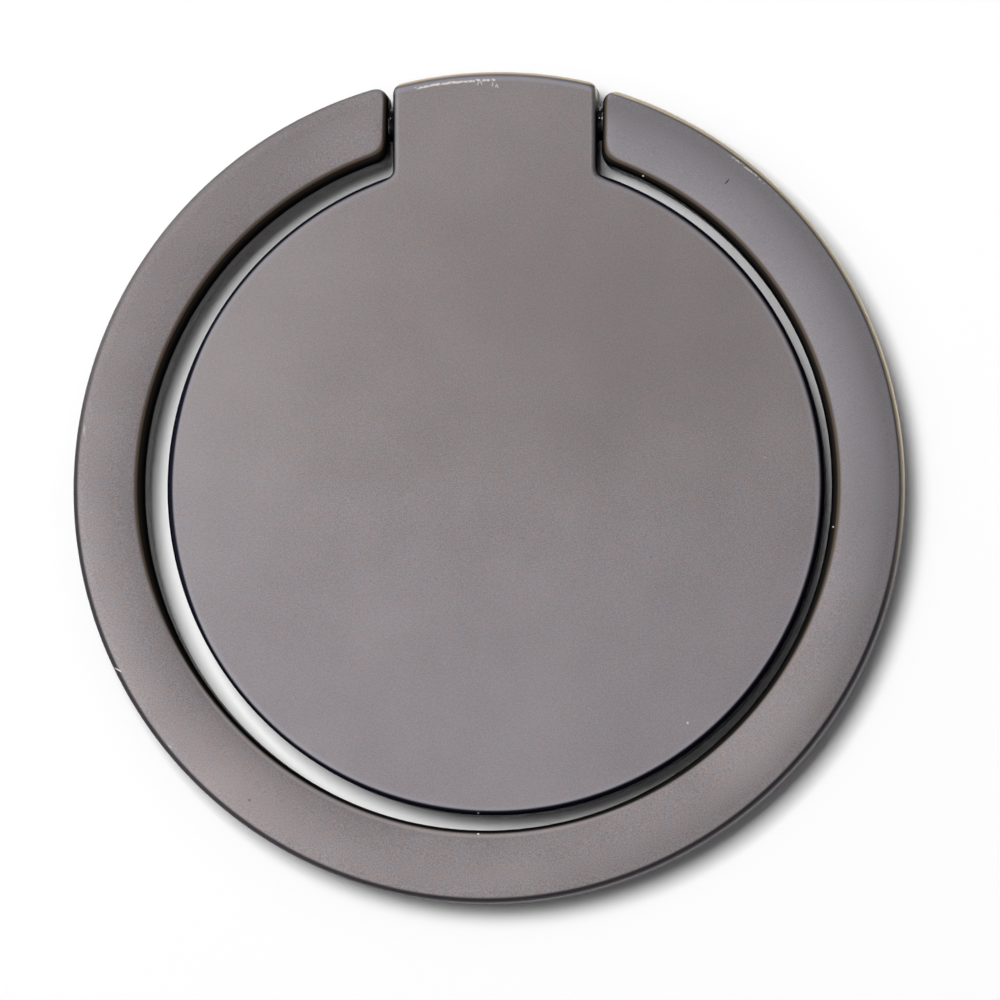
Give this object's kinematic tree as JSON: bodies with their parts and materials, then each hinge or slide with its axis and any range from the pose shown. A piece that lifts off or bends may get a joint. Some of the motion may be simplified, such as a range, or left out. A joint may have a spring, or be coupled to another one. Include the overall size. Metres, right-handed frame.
{
  "type": "phone ring holder",
  "caption": "Slim round phone grip: an open finger ring hinged at the neck of a flat disc, which turns on an adhesive-backed base plate.",
  "frame": {"origin": "on the swivel axis, on the sticky underside that goes on the phone", "axes": "+Z away from the phone, +Y towards the neck and the hinge, +X to the right when the ring hangs below the neck"},
  "size_m": [0.04, 0.04, 0.0035],
  "materials": {
    "satin_gunmetal": "satin gunmetal plating on die-cast zinc",
    "pressed_steel": "plain pressed stainless sheet",
    "spring_steel": "plain spring steel",
    "pin_steel": "ground steel",
    "slip_plastic": "natural slippery plastic film",
    "adhesive_foam": "dark acrylic foam tape"
  },
  "bodies": {
    "base": {"adhesive_pad": "adhesive_foam", "base_plate": "pressed_steel", "slip_ring": "slip_plastic"},
    "plate": {"face_plate": "satin_gunmetal", "hinge_pin": "pin_steel", "left_hinge_shim": "spring_steel", "right_hinge_shim": "spring_steel", "spring_washer": "spring_steel", "retaining_washer": "spring_steel"},
    "ring": {"finger_ring": "satin_gunmetal"}
  },
  "joints": [
    {"name": "plate_swivel", "type": "hinge", "parent": "base", "child": "plate", "pos_m": [0, 0, 0], "axis": [0, 0, 1], "continuous": true},
    {"name": "ring_flip", "type": "hinge", "parent": "plate", "child": "ring", "pos_m": [0, 0.01751, 0.00232], "axis": [-1, 0, 0], "range_deg": [0, 180]}
  ]
}
